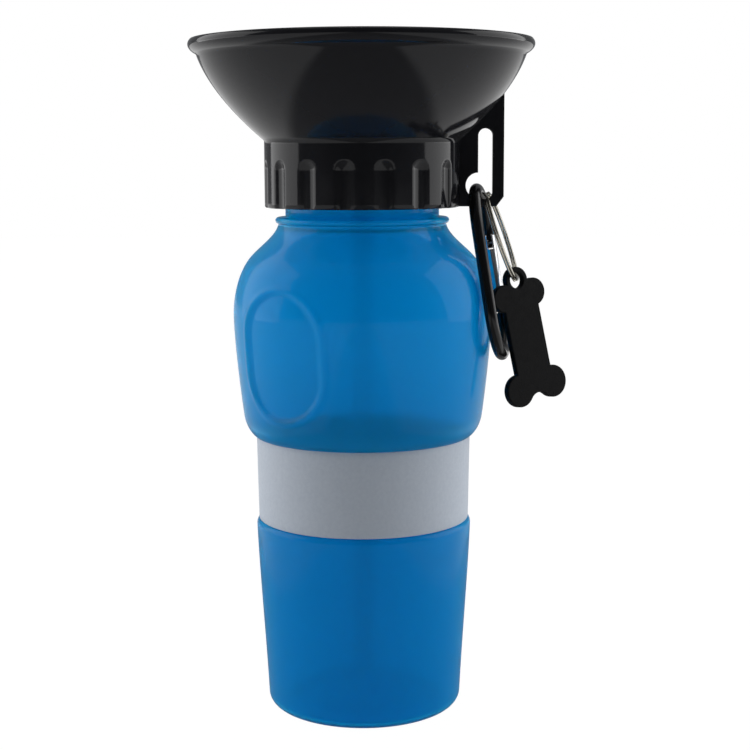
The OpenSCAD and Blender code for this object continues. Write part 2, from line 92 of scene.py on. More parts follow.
def arc(centre, radius, start, stop, n):
    """n + 1 points on a circle about centre, from start to stop in degrees."""
    a = np.radians(np.linspace(start, stop, n + 1))
    return np.array(centre) + radius * np.stack([np.cos(a), np.sin(a)], 1)


def inset(path, distance):
    """The path moved to its left: each point slides along the normal of its neighbours' chord."""
    chord = np.gradient(path, axis=0)
    normal = np.stack([-chord[:, 1], chord[:, 0]], 1) / np.linalg.norm(chord, axis=1)[:, None]
    return path + distance * normal


def joined(*paths):
    """One outline from several, leaving out points that fall on the one before."""
    points = np.vstack([np.atleast_2d(p) for p in paths])
    step = np.linalg.norm(np.diff(points, axis=0), axis=1)
    return points[np.concatenate([[True], step > 1e-4])]


def divided(path, longest):
    """The path with its long steps cut into equal shorter ones, at most longest each."""
    parts = [path[:1]]
    for a, b in zip(path[:-1], path[1:]):
        n = max(1, int(np.ceil(np.linalg.norm(b - a) / longest)))
        parts.append(a + (b - a) * np.linspace(0, 1, n + 1)[1:, None])
    return np.vstack(parts)


# %% [markdown]
# ## Meshes from grids
# Blender could lathe or sweep these outlines with modifiers. Here the points are worked out as
# one array instead, row by row and column by column. The panels, flutes and threads can then be
# added as numbers before the mesh is made, and the result has no seam.

# %% A mesh from a grid of points
def grid_mesh(name, points, close_rows, close_columns, poles=False):
    """A mesh object, in metres, from points[row, column] in millimetres.

    Neighbours on the grid become quads. close_rows joins the last row to the first and
    close_columns the last column to the first. With poles, the first and the last row are
    single points, which close the ends with a fan of triangles.
    """
    columns = points.shape[1]
    body = points[1:-1] if poles else points
    count = len(body)
    verts = body.reshape(-1, 3)
    r = np.arange(count if close_rows else count - 1)
    c = np.arange(columns if close_columns else columns - 1)
    i, j = np.meshgrid(r, c, indexing="ij")
    i2, j2 = (i + 1) % count, (j + 1) % columns
    quads = np.stack([i * columns + j, i * columns + j2, i2 * columns + j2, i2 * columns + j], -1)
    faces = quads.reshape(-1, 4).tolist()
    if poles:
        first, last = len(verts), len(verts) + 1
        verts = np.vstack([verts, points[0, :1], points[-1, :1]])
        here = np.arange(columns)
        beside = (here + 1) % columns
        top = (count - 1) * columns
        faces += np.stack([beside, here, np.full(columns, first)], 1).tolist()
        faces += np.stack([here + top, beside + top, np.full(columns, last)], 1).tolist()
    mesh = bpy.data.meshes.new(name)
    mesh.from_pydata((verts * MM).tolist(), [], faces)
    mesh.validate()
    mesh.shade_smooth()
    piece = bpy.data.objects.new(name, mesh)
    bpy.context.scene.collection.objects.link(piece)
    print(name, len(verts), "points", len(faces), "faces")
    return piece


def revolved(name, outline, columns, closed, push=None):
    """A surface of revolution: the outline's radius and height carried round the Z axis.

    closed joins the outline's end to its start, as on a ring; otherwise both ends are on the
    axis. push(radius, height, angle) gives a change of radius for every point of the grid.
    """
    angle = np.linspace(0, 2 * np.pi, columns, endpoint=False)
    radius = np.repeat(outline[:, :1], columns, 1)
    height = np.repeat(outline[:, 1:2], columns, 1)
    turn = np.repeat(angle[None, :], len(outline), 0)
    if push is not None:
        radius = radius + push(radius, height, turn)
    points = np.stack([radius * np.cos(turn), radius * np.sin(turn), height], -1)
    return grid_mesh(name, points, closed, True, poles=not closed)


def smoothstep(x):
    """0 below 0, 1 above 1, and 3x^2 - 2x^3 between."""
    x = np.clip(x, 0, 1)
    return x * x * (3 - 2 * x)


# %% [markdown]
# ## The bottle
# The real bottle is blown in one piece: a narrow lower body that drops into a cup holder, a groove
# for the grip band, a bulb to squeeze, and a neck with a bead and a screw thread. A lathe profile
# with a wall makes all of it. The squeeze panels and the thread aren't round, so they are added
# as a change of radius over height and angle, which keeps the whole bottle one clean grid.

# %% Heights and radii from the frame
def low(node):
    """The node's lowest corner in millimetres."""
    return np.array(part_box(node)[0]) / MM


def high(node):
    """The node's highest corner in millimetres."""
    return np.array(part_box(node)[1]) / MM


band_z = low("grip_band")[2]
band_top_z = high("grip_band")[2]
band_top_r = high("grip_band")[1]
rim_z = high("bottle")[2]
bulb_r = high("bottle")[1]
ceiling_z = high("neck_gasket")[2]
collar_z = low("bowl_cap")[2]
lip_z = high("bowl_cap")[2]
lip_r = high("bowl_cap")[1]
WALL = 1.2
print("band", band_z, band_top_z, "rim", rim_z, "lip", lip_z, "bulb", bulb_r)

# %% The bottle's outline
HEEL_R = 4.0
FOOT_BODY_R = 32.8
WAIST_R = 36.2
WAIST_ROUND = 2.0
BAND_TAPER = 0.5
BAND_WALL = 1.1
BULB_LOW_R = 39.95
WIDEST_Z = band_top_z + 40.8
HAUNCH = (36.2, WIDEST_Z + 19.9)
RIM_EASE = 0.3
NECK_R = 25.45
NECK_WALL = 1.8
BEAD_R = 1.05
bead_z = WIDEST_Z + 29.9
throat = (NECK_R + 2.3, bead_z)
groove_r = band_top_r - BAND_TAPER - BAND_WALL

lower_body = joined(
    arc((FOOT_BODY_R - HEEL_R, HEEL_R), HEEL_R, -90, 0, 8),
    curve((FOOT_BODY_R, HEEL_R), (33.7, 22.8), (35.6, 45.5),
          (WAIST_R, band_z - WAIST_ROUND), 18),
    arc((WAIST_R - WAIST_ROUND, band_z - WAIST_ROUND), WAIST_ROUND, 0, 90, 6))
bulb = joined(
    curve((WAIST_R, band_top_z), (WAIST_R + 1.4, band_top_z + 0.8),
          (BULB_LOW_R - 0.55, band_top_z + 3.3), (BULB_LOW_R, band_top_z + 6.6), 10),
    curve((BULB_LOW_R, band_top_z + 6.6), (BULB_LOW_R + 0.95, band_top_z + 13.3),
          (bulb_r, WIDEST_Z - 9), (bulb_r, WIDEST_Z), 20),
    curve((bulb_r, WIDEST_Z), (bulb_r, WIDEST_Z + 7.5),
          (HAUNCH[0] + 4.4, HAUNCH[1] - 4.3), HAUNCH, 16),
    curve(HAUNCH, (HAUNCH[0] - 3, HAUNCH[1] + 3.1),
          (throat[0] + 0.85, bead_z - 3.8), throat, 14))
bead = arc((throat[0], bead_z + BEAD_R), BEAD_R, -80, 80, 8)
neck = [(NECK_R, bead_z + 2 * BEAD_R), (NECK_R, rim_z - RIM_EASE), (NECK_R - RIM_EASE, rim_z)]

# %% The inside follows the outside, a wall's thickness away
FOOT_R = FOOT_BODY_R - HEEL_R - 2.5
PUSH_UP = 3.0
BULB_FOOT_POINTS = 10
WAIST_POINTS = 8
mouth_r = NECK_R - NECK_WALL

# Where the outside turns into the band's groove, a wall drawn inside it would fold over itself, so
# the points there are left out and two of the groove's own take their place.
inside = joined(
    [(mouth_r + RIM_EASE, rim_z), (mouth_r, rim_z - RIM_EASE)],
    inset(bulb, WALL)[::-1][:-BULB_FOOT_POINTS],
    [(groove_r + BAND_TAPER - WALL, band_top_z - WALL), (groove_r - WALL, band_z + WALL)],
    inset(lower_body, WALL)[::-1][WAIST_POINTS:],
    [(FOOT_R * 0.8, PUSH_UP * 0.6 + WALL), (0, PUSH_UP + WALL)])
in_neck = inside[:, 1] > bead_z - 2
inside[in_neck, 0] = np.minimum(inside[in_neck, 0], mouth_r + RIM_EASE)

# %% The whole outline, with rows close enough for what is pressed into it
FINE_ROWS = 1.0
PLAIN_ROWS = 2.4
foot = [(0, PUSH_UP), (FOOT_R * 0.8, PUSH_UP * 0.6), (FOOT_R, 0.25), (FOOT_R + 0.5, 0)]
groove = [(groove_r, band_z), (groove_r + BAND_TAPER, band_top_z)]
bottle_outline = joined(
    divided(joined(foot, lower_body, groove), PLAIN_ROWS), divided(bulb, FINE_ROWS), bead,
    divided(joined(neck, inside), PLAIN_ROWS))
print("rows round the bottle", len(bottle_outline))

# %% Squeeze panels and thread as a change of radius
PANEL_AZ = math.radians(-129)
PANEL_R = 15.5
PANEL_STRAIGHT = 11.0
PANEL_DEPTH = 0.9
PANEL_SOFT = 1.6
PANEL_SPREAD = 0.2
PANEL_RIM = 0.4
RIM_OUT = 0.5
RIM_WIDTH = 1.0
PANEL_Z = WIDEST_Z - 11
THREAD_LEAD = 4.8
THREAD_TURNS = 1.25
THREAD_DEPTH = 1.85
THREAD_ROOT = 2.0
THREAD_CREST = 1.0
THREAD_FADE = 12
THREAD_STEP = 0.3
BOTTLE_COLUMNS = 240
neck_thread_z = rim_z - 3.6 - THREAD_LEAD * THREAD_TURNS


def panel_push(radius, height, angle):
    """Two oval panels pressed in, each with a soft edge and a faint raised rim.

    How far a point lies inside the oval is the oval's radius less the distance to the oval's
    upright centre line, measured across the panel and up it.
    """
    push = np.zeros_like(radius)
    for azimuth in (PANEL_AZ, PANEL_AZ + math.pi):
        across = radius * np.sin(angle - azimuth)
        up = np.maximum(np.abs(height - PANEL_Z) - PANEL_STRAIGHT / 2, 0)
        within = PANEL_R - np.hypot(across, up)
        facing = np.cos(angle - azimuth) > 0
        rim = PANEL_RIM * np.exp(-((within + RIM_OUT) / RIM_WIDTH) ** 2)
        pressed = PANEL_DEPTH * smoothstep((within + PANEL_SPREAD) / PANEL_SOFT)
        push += np.where(facing, rim - pressed, 0)
    return push * (height > band_top_z + 2) * (height < WIDEST_Z + 14)


def helix_ridge(height, angle, first_z):
    """How far a screw thread's ridge stands out: THREAD_DEPTH within the crest's half width of a
    line that rises by the lead each turn, falling to 0 at the root's, and fading at both ends."""
    ridge = np.zeros_like(height)
    for lap in range(2):
        turn = angle / (2 * np.pi) + lap
        off = np.abs(height - first_z - THREAD_LEAD * turn)
        slope = (THREAD_ROOT - THREAD_CREST) / 2
        shape = np.clip((THREAD_ROOT / 2 - off) / slope, 0, 1)
        start = np.clip(turn * THREAD_FADE, 0, 1)
        end = np.clip((THREAD_TURNS - turn) * THREAD_FADE, 0, 1)
        ridge = np.maximum(ridge, THREAD_DEPTH * shape * start * end)
    return ridge


def bottle_push(radius, height, angle):
    """Panels on the bulb's two walls, and the thread on the outside of the neck."""
    outside = radius > NECK_R - 0.1
    thread = helix_ridge(height, angle, neck_thread_z) * outside * (height > bead_z + 3)
    return panel_push(radius, height, angle) + thread


def closer_rows(outline, low_z, high_z, radius, step):
    """The outline with its steps cut to at most step long, wherever it runs straight up at radius
    between two heights."""
    parts = [outline[:1]]
    for a, b in zip(outline[:-1], outline[1:]):
        close = abs(a[0] - radius) < 0.05 and abs(b[0] - radius) < 0.05
        close = close and max(a[1], b[1]) > low_z and min(a[1], b[1]) < high_z
        n = max(1, int(np.ceil(np.linalg.norm(b - a) / step))) if close else 1
        parts.append(a + (b - a) * np.linspace(0, 1, n + 1)[1:, None])
    return np.vstack(parts)


bottle_outline = closer_rows(bottle_outline, neck_thread_z - 2, rim_z, NECK_R, THREAD_STEP)
bottle = revolved("bottle_blown", bottle_outline, BOTTLE_COLUMNS, False, bottle_push)

# %% [markdown]
# ## The grip band
# A bare matt sleeve lies in the bottle's groove. It is a ring with its four edges slightly
# rounded, because a sharp edge would catch no light at all.

# %% The grip band
EDGE = 0.25
BAND_ROWS = 2.0


def sleeve_outline(low_in, low_out, high_out, high_in, edge):
    """A four-cornered section with each corner cut by a short bevel of three points."""
    corners = np.array([low_in, low_out, high_out, high_in], float)
    points = []
    for k in range(4):
        before, here, after = corners[k - 1], corners[k], corners[(k + 1) % 4]
        towards = (before - here) / np.linalg.norm(before - here)
        away = (after - here) / np.linalg.norm(after - here)
        points += [here + towards * edge, here + (towards + away) * edge * 0.3, here + away * edge]
    return np.array(points)


band_outline = sleeve_outline(
    (groove_r, band_z), (band_top_r - BAND_TAPER, band_z),
    (band_top_r, band_top_z), (groove_r + BAND_TAPER, band_top_z), EDGE)
band_outline = divided(joined(band_outline, band_outline[:1]), BAND_ROWS)[:-1]
band = revolved("band_sleeve", band_outline, BOTTLE_COLUMNS, True)

# %% [markdown]
# ## The bowl and its collar
# Bowl, collar, spigot and tab are one black moulding. The bowl and collar are a lathe profile
# that closes on itself round the drain. The collar's flutes are cut by upright cylinders with
# round ends, and the same change-of-radius idea cuts them here: the formula gives how far out a
# cylinder's near side stands at each angle.

# %% The bowl's outline
COLLAR_WALL = 4.4
BORE_R = NECK_R + THREAD_DEPTH + 0.5
collar_r = BORE_R + COLLAR_WALL
FLOOR_T = 2.2
BOWL_WALL = 2.0
LIP_OUT = 2.9
LIP_H = 4.6
FLOOR_FALL = 0.6
DRAIN_R = 1.9
SPIGOT_R = 2.8
SPIGOT_H = 12.0
floor_z = ceiling_z + FLOOR_T
flare_z = ceiling_z + 2.6
lip_foot = (lip_r - LIP_OUT, lip_z - LIP_H)

bowl_side = curve((collar_r, flare_z), (collar_r + 8.6, flare_z + 7.4),
                  (lip_foot[0] - 3.6, lip_foot[1] - 10.5), lip_foot, 30)
lip = curve(lip_foot, (lip_foot[0] + 1.9, lip_foot[1] + 0.9), (lip_r + 0.75, lip_z - 1.9),
            (lip_r - 1, lip_z), 12)
rim_in_r = lip_r - LIP_OUT - 0.6
inner_rim = arc((rim_in_r, lip_z - 1.4), 1.4, 90, 180, 6)
bowl_wall_in = inset(bowl_side, BOWL_WALL)[::-1]
bowl_outline = divided(joined(
    [(BORE_R, collar_z + 0.3), (BORE_R + 0.3, collar_z), (collar_r - 0.4, collar_z),
     (collar_r, collar_z + 0.4)],
    bowl_side, lip, inner_rim, bowl_wall_in,
    [(collar_r - 3.4, floor_z + FLOOR_FALL + 0.7), (collar_r - 7.5, floor_z + FLOOR_FALL),
     (DRAIN_R + 0.4, floor_z), (DRAIN_R, floor_z - 0.3),
     (DRAIN_R, ceiling_z - SPIGOT_H), (SPIGOT_R, ceiling_z - SPIGOT_H), (SPIGOT_R, ceiling_z),
     (BORE_R, ceiling_z)]), 1.2)

# %% The flutes and the collar's thread
FLUTES = 16
FLUTE_DEPTH = 1.0
FLUTE_R = 5.5
FLUTE_H = 15.4
FLUTE_PHASE = math.radians(13)
FLUTE_STEP = 0.4
BOWL_COLUMNS = 320
collar_thread_z = neck_thread_z - 1.8


def flute_push(radius, height, angle):
    """How far each point of the collar's face moves in to lie in a flute.

    A flute is an upright cylinder of radius FLUTE_R whose axis is c from the bottle's. At an
    angle a from it, its near side is at c cos a - sqrt(q^2 - c^2 sin^2 a), where q is FLUTE_R,
    or less near the flute's round top.
    """
    pitch = 2 * np.pi / FLUTES
    off = (angle - FLUTE_PHASE + pitch / 2) % pitch - pitch / 2
    c = collar_r - FLUTE_DEPTH + FLUTE_R
    top = collar_z + FLUTE_H - math.sqrt(FLUTE_R ** 2 - (FLUTE_R - FLUTE_DEPTH) ** 2)
    q2 = FLUTE_R ** 2 - np.maximum(height - top, 0) ** 2
    under = q2 - (c * np.sin(off)) ** 2
    near = c * np.cos(off) - np.sqrt(np.maximum(under, 0))
    cut = np.where(under > 0, near - radius, 0)
    face = (radius > collar_r - 0.6) & (height < collar_z + FLUTE_H + 1)
    return np.minimum(cut, 0) * face


def bowl_push(radius, height, angle):
    """Flutes outside the collar, and the thread's ridge inside it."""
    bore = (np.abs(radius - BORE_R) < 0.2) & (height < ceiling_z - 1)
    return flute_push(radius, height, angle) - helix_ridge(height, angle, collar_thread_z) * bore


bowl_closed = joined(bowl_outline, bowl_outline[:1])
bowl_closed = closer_rows(bowl_closed, collar_z, ceiling_z, BORE_R, THREAD_STEP)
flute_top_z = collar_z + FLUTE_H
bowl_closed = closer_rows(bowl_closed, flute_top_z - 6, flute_top_z + 1, collar_r, FLUTE_STEP)
bowl = revolved("bowl_moulding", bowl_closed[:-1], BOWL_COLUMNS, True, bowl_push)

# %% [markdown]
# ## Flat pieces with holes
# The tab and the tag are cut from sheet, with their edges eased. A filled flat curve with a
# little bevel gives both in one step: it takes an outline and its holes, fills between them and
# rounds the rims. It becomes a mesh before its place is applied.

# %% A plate from an outline and holes
def plate(name, loops, thickness, ease, place):
    """A flat piece in its own X-Y plane, thickness thick, its edges eased by a small bevel.

    loops are closed outlines in millimetres: the rim first, then its holes. place is the 4x4
    matrix, in millimetres, that sets the plate in the model.
    """
    data = bpy.data.curves.new(name, "CURVE")
    data.dimensions = "2D"
    data.fill_mode = "BOTH"
    data.extrude = (thickness / 2 - ease) * MM
    data.bevel_depth = ease * MM
    data.bevel_resolution = 2
    data.offset = -ease * MM
    for loop in loops:
        spline = data.splines.new("POLY")
        spline.points.add(len(loop) - 1)
        flat = np.zeros((len(loop), 4))
        flat[:, :2] = np.array(loop) * MM
        flat[:, 3] = 1
        spline.points.foreach_set("co", flat.ravel())
        spline.use_cyclic_u = True
    source = bpy.data.objects.new(name + "_curve", data)
    bpy.context.scene.collection.objects.link(source)
    depsgraph = bpy.context.evaluated_depsgraph_get()
    mesh = bpy.data.meshes.new_from_object(source.evaluated_get(depsgraph))
    bpy.data.objects.remove(source)
    scaled = Matrix(place)
    scaled.translation = scaled.translation * MM
    mesh.transform(scaled)
    piece = bpy.data.objects.new(name, mesh)
    bpy.context.scene.collection.objects.link(piece)
    print(name, len(mesh.polygons), "faces")
    return piece


# %% The tab with its keyhole
TAB_T = 3.2
TAB_X = 46.8
TAB_LEG = 3.7
TAB_CHAMFER = 2.4
TAB_WEB = 2.4
TAB_EASE = 0.3
SLOT_W = 4.8
SLOT_H = 23.2
LOBE_R = 4.2
slot_x = TAB_X - TAB_LEG - SLOT_W / 2
slot_foot_z = collar_z + TAB_WEB
slot_left = slot_x - SLOT_W / 2
lobe = (slot_left + 0.1, slot_foot_z + 0.35 + LOBE_R)
tab_in = BORE_R + 1.6
tab_rim = [(tab_in, collar_z + 0.1), (TAB_X - TAB_CHAMFER, collar_z + 0.05),
           (TAB_X, collar_z + TAB_CHAMFER * 1.35), (TAB_X, lip_foot[1] - 10),
           (collar_r + 9, flare_z + 9.3), (collar_r + 0.6, flare_z + 1.2), (tab_in, flare_z + 1.2)]

slot_foot = (slot_x, slot_foot_z + SLOT_W / 2)
slot_head = (slot_x, slot_foot_z + SLOT_H - SLOT_W / 2)
meet_up = math.degrees(math.acos((slot_left - lobe[0]) / LOBE_R))
foot_gap = math.hypot(lobe[0] - slot_foot[0], lobe[1] - slot_foot[1])
foot_turn = math.degrees(math.atan2(lobe[1] - slot_foot[1], lobe[0] - slot_foot[0]))
foot_cosine = (foot_gap ** 2 + (SLOT_W / 2) ** 2 - LOBE_R ** 2) / (foot_gap * SLOT_W)
foot_open = math.degrees(math.acos(foot_cosine))
foot_meet = arc(slot_foot, SLOT_W / 2, foot_turn + foot_open, 360, 1)[0]
lobe_meet = math.degrees(math.atan2(foot_meet[1] - lobe[1], foot_meet[0] - lobe[0]))
keyhole = joined(
    arc(slot_head, SLOT_W / 2, 0, 180, 20),
    arc(lobe, LOBE_R, meet_up, 360 + lobe_meet, 40),
    arc(slot_foot, SLOT_W / 2, foot_turn + foot_open, 360, 14))
upright = Matrix.Rotation(math.pi / 2, 4, "X")
tab = plate("keyhole_tab", [tab_rim, keyhole[::-1]], TAB_T, TAB_EASE, upright)

# %% [markdown]
# ## The key ring and the tag
# The ring and the tag hang leaning and a little turned, pushed out by the hook that rests on the
# bulb. Their matrices are built from the same few angles as the CAD. The ring is really one wire
# wound twice, so it is swept along two laps with a jog between them, and both cut ends show.

# %% The places of the ring and the tag
RING_D = 31.2
RING_W = 1.4
RING_T = 1.7
RING_LEAN = math.radians(19)
RING_TURN = math.radians(9)
ring_r = (RING_D - RING_W) / 2
ring_top = Vector((41.5, 0, slot_foot_z + 0.7 + (RING_W + RING_T * math.sin(RING_LEAN)) / 2))
ring_place = (Matrix.Translation(ring_top) @ Matrix.Rotation(-RING_TURN, 4, "Z")
              @ Matrix.Rotation(-RING_LEAN, 4, "Y") @ Matrix.Translation((0, 0, -ring_r)))

TAG_PLACE = math.radians(17)
TAG_LEAN = math.radians(11.5)
TAG_TURN = math.radians(33)
EYE_DROP = 0.6
tag_place = (ring_place @ Matrix.Rotation(-TAG_PLACE, 4, "X") @ Matrix.Translation((0, 0, -ring_r))
             @ Matrix.Rotation(TAG_PLACE, 4, "X") @ Matrix.Rotation(RING_LEAN, 4, "Y")
             @ Matrix.Rotation(RING_TURN, 4, "Z") @ Matrix.Rotation(-TAG_LEAN, 4, "Y")
             @ Matrix.Translation((0, 0, -EYE_DROP)) @ Matrix.Rotation(TAG_TURN, 4, "Z") @ upright)


# %% The ring's wire
SECTIONS = 320
SECTION_POINTS = 16
LAP_GAP = 0.04
JOG_FROM = 0.955
JOG_SPAN = 0.09
CUT_TURN = math.pi / 2 + 0.35
CUT_SIZE = 0.75
CORNER_POWER = 0.55


def placed(points, place):
    """Points carried by a 4x4 matrix in millimetres."""
    m = np.array(place)
    return points @ m[:3, :3].T + m[:3, 3]


def rounded(wave):
    """A cosine or sine with its size raised to CORNER_POWER, which squares a circle's corners."""
    return np.sign(wave) * np.abs(wave) ** CORNER_POWER


def wound_ring(name):
    """Two laps of flat wire, an open gap of LAP_GAP laps short at each end.

    The centre line is a circle that steps sideways by one wire after the first lap. The section
    is a rounded rectangle, which shrinks to CUT_SIZE at both cut ends, where a fan closes it.
    """
    coil_t = RING_T / 2
    laps = np.linspace(LAP_GAP, 2 - LAP_GAP, SECTIONS)
    turn = laps * 2 * np.pi
    aside = coil_t / 2 * (2 * smoothstep((laps - JOG_FROM) / JOG_SPAN) - 1)
    corner = np.radians(np.linspace(360, 0, SECTION_POINTS, endpoint=False))
    wide = (RING_W / 2 - 0.02) * rounded(np.cos(corner))
    thick = (coil_t / 2 - 0.03) * rounded(np.sin(corner))
    from_cut = np.minimum(turn - turn[0], turn[-1] - turn)
    size = np.minimum(1, from_cut / 0.02 + CUT_SIZE)[:, None]
    radius = ring_r + wide[None, :] * size
    along = turn[:, None] + CUT_TURN
    x = aside[:, None] + thick[None, :] * size
    points = np.stack([x, radius * np.cos(along), radius * np.sin(along)], -1)
    first = np.repeat(points[:1].mean(1, keepdims=True), SECTION_POINTS, 1)
    last = np.repeat(points[-1:].mean(1, keepdims=True), SECTION_POINTS, 1)
    points = np.concatenate([first, points, last], 0)
    return grid_mesh(name, placed(points, ring_place), False, True, poles=True)


ring = wound_ring("key_ring_wire")

# %% The tag's outline
TAG_T = 2.4
TAG_L = 36.0
TAG_HALF = 6.0
TAG_LOW_HALF = 7.0
LOBE_UP_R = 4.6
LOBE_LOW_R = 5.4
SHAFT_HALF = 7.1
TAG_EYE_R = 2.7
TAG_EYE_OUT = 4.4
TAG_EASE = 0.35
NOTCH_SHARE = 0.72
lobe_up = (TAG_HALF, -LOBE_UP_R - 0.5)
lobe_low = (TAG_LOW_HALF, -TAG_L)


def meeting(centre_a, r_a, centre_b, r_b, side):
    """The point where two circles cross, on the left (1) or right (-1) of the line a to b."""
    a, b = np.array(centre_a, float), np.array(centre_b, float)
    gap = np.linalg.norm(b - a)
    along = (gap ** 2 + r_a ** 2 - r_b ** 2) / (2 * gap)
    off = math.sqrt(r_a ** 2 - along ** 2)
    unit = (b - a) / gap
    return a + along * unit + side * off * np.array([-unit[1], unit[0]])


def bearing(centre, point):
    """The direction from centre to point, in degrees."""
    return math.degrees(math.atan2(point[1] - centre[1], point[0] - centre[0]))


# Clockwise down the right half, from the eye's top to the notch, then mirrored. The notch is a
# circle that touches both lower lobes, so the rim runs from one to the other without a corner.
eye_meet = meeting((0, 0), TAG_EYE_OUT, lobe_up, LOBE_UP_R, 1)
dip = math.sqrt(LOBE_UP_R ** 2 - (SHAFT_HALF - TAG_HALF) ** 2)
waist = (SHAFT_HALF, lobe_up[1] - dip)
rise = math.sqrt(LOBE_LOW_R ** 2 - (SHAFT_HALF - TAG_LOW_HALF) ** 2)
knee = (SHAFT_HALF, lobe_low[1] + rise)
notch_r = LOBE_LOW_R * NOTCH_SHARE
drop = math.sqrt((LOBE_LOW_R + notch_r) ** 2 - TAG_LOW_HALF ** 2)
notch = (0, -TAG_L - drop)
right_half = joined(
    arc((0, 0), TAG_EYE_OUT, 90, bearing((0, 0), eye_meet), 8),
    arc(lobe_up, LOBE_UP_R, bearing(lobe_up, eye_meet), bearing(lobe_up, waist), 24),
    arc(lobe_low, LOBE_LOW_R, bearing(lobe_low, knee), bearing(lobe_low, notch), 30),
    arc(notch, notch_r, bearing(notch, lobe_low), 90, 10))
left_half = right_half[::-1] * np.array([-1, 1])
tag_rim = joined(right_half, left_half[1:-1])
tag_hole = arc((0, 0), TAG_EYE_R, 0, 360, 32)[:-1]
tag = plate("bone_plate", [tag_rim, tag_hole], TAG_T, TAG_EASE, tag_place)

# %% [markdown]
# ## Riding and replacing
# Each new piece rides on the body of the node that it stands for, so it moves as that node does.
# The tab is part of the bowl cap's node, which the bowl already stands for, so it only rides.

# %% Riding and replacing
for piece, body, node, slot in (
        (bottle, "bottle", "bottle", "bottle_plastic"),
        (band, "bottle", "grip_band", "band_rubber"),
        (bowl, "cap", "bowl_cap", "black_plastic"),
        (ring, "ring", "split_ring", "ring_metal"),
        (tag, "tag", "bone_tag", "tag_plastic")):
    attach(piece, body)
    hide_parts(node)
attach(tab, "cap")
print("new pieces", [piece.name for piece in (bottle, band, bowl, tab, ring, tag)])

# %% [markdown]
# ## Colours
# Colours are read from the photograph as screen values, and a shader wants them linear. One
# function does the conversion, so each colour below is written as it looks.

# %% From screen colour to linear
def linear(red, green, blue):
    """A screen colour of 0 to 255 a channel as linear RGBA: the sRGB curve undone."""
    c = np.array([red, green, blue]) / 255
    c = np.where(c <= 0.04045, c / 12.92, ((c + 0.055) / 1.055) ** 2.4)
    return (*c.tolist(), 1.0)


BODY_BLUE = linear(0, 170, 223)
BULB_BLUE = linear(0, 184, 234)
BAND_GREY = linear(196, 203, 212)
BAND_FLECK = linear(180, 188, 200)
CAP_BLACK = linear(23, 23, 26)
CAP_WORN = linear(27, 27, 30)
TAG_BLACK = linear(14, 14, 15)
TAG_WORN = linear(20, 20, 21)
HOOK_BLACK = linear(14, 14, 15)
HOOK_WORN = linear(22, 22, 23)
RING_SILVER = linear(222, 218, 206)
RING_DULL = linear(204, 199, 186)
GATE_SILVER = linear(226, 228, 232)
GATE_DULL = linear(210, 213, 220)
STEEL = linear(190, 192, 196)
STEEL_DULL = linear(170, 172, 178)
TUBE_WHITE = linear(240, 244, 248)
TUBE_SHADE = linear(230, 238, 246)
SEAL_GREY = linear(150, 152, 155)
SEAL_SHADE = linear(135, 137, 141)
print("body blue, linear", [round(c, 3) for c in BODY_BLUE[:3]])

# %% [markdown]
# ## Shared effects
# Two effects are used by more than one material, so each is a node group. Fine grain is a small
# bump from noise, as on moulded plastic and rubber. Handling is a soft patchy change of roughness,
# as fingers leave on gloss.

# %% Node helpers
def new_group(name, inputs, outputs):
    """An empty shader node group with float inputs (name, default) and typed outputs."""
    group = bpy.data.node_groups.new(name, "ShaderNodeTree")
    for label, default in inputs:
        socket = group.interface.new_socket(label, in_out="INPUT", socket_type="NodeSocketFloat")
        socket.default_value = default
    for label, kind in outputs:
        group.interface.new_socket(label, in_out="OUTPUT", socket_type=kind)
    return group, group.nodes.new("NodeGroupInput"), group.nodes.new("NodeGroupOutput")


def noise_node(tree, detail):
    """A noise texture on Object coordinates."""
    place = tree.nodes.new("ShaderNodeTexCoord")
    noise = tree.nodes.new("ShaderNodeTexNoise")
    noise.inputs["Detail"].default_value = detail
    tree.links.new(place.outputs["Object"], noise.inputs["Vector"])
    return noise


def map_range(tree, low_in, high_in, low_out=0.0, high_out=1.0):
    """A node that carries low_in..high_in to low_out..high_out, and holds its ends beyond."""
    node = tree.nodes.new("ShaderNodeMapRange")
    node.inputs["From Min"].default_value = low_in
    node.inputs["From Max"].default_value = high_in
    node.inputs["To Min"].default_value = low_out
    node.inputs["To Max"].default_value = high_out
    return node


# %% Fine grain
grain_group, grain_in, grain_out = new_group(
    "fine_grain", [("Scale", 2000.0), ("Depth", 0.02)], [("Normal", "NodeSocketVector")])
grain_noise = noise_node(grain_group, 3.0)
grain_bump = grain_group.nodes.new("ShaderNodeBump")
grain_bump.inputs["Distance"].default_value = 0.001
grain_group.links.new(grain_in.outputs["Scale"], grain_noise.inputs["Scale"])
grain_group.links.new(grain_in.outputs["Depth"], grain_bump.inputs["Strength"])
grain_group.links.new(grain_noise.outputs["Fac"], grain_bump.inputs["Height"])
grain_group.links.new(grain_bump.outputs["Normal"], grain_out.inputs["Normal"])

# %% Handling
hand_group, hand_in, hand_out = new_group(
    "handling", [("Scale", 60.0), ("Low", 0.1), ("High", 0.2)],
    [("Roughness", "NodeSocketFloat"), ("Mask", "NodeSocketFloat")])
hand_noise = noise_node(hand_group, 5.0)
hand_range = map_range(hand_group, 0.35, 0.7)
hand_group.links.new(hand_in.outputs["Scale"], hand_noise.inputs["Scale"])
hand_group.links.new(hand_noise.outputs["Fac"], hand_range.inputs["Value"])
hand_group.links.new(hand_in.outputs["Low"], hand_range.inputs["To Min"])
hand_group.links.new(hand_in.outputs["High"], hand_range.inputs["To Max"])
hand_group.links.new(hand_range.outputs["Result"], hand_out.inputs["Roughness"])
hand_group.links.new(hand_noise.outputs["Fac"], hand_out.inputs["Mask"])
print("shared effects", grain_group.name, hand_group.name)

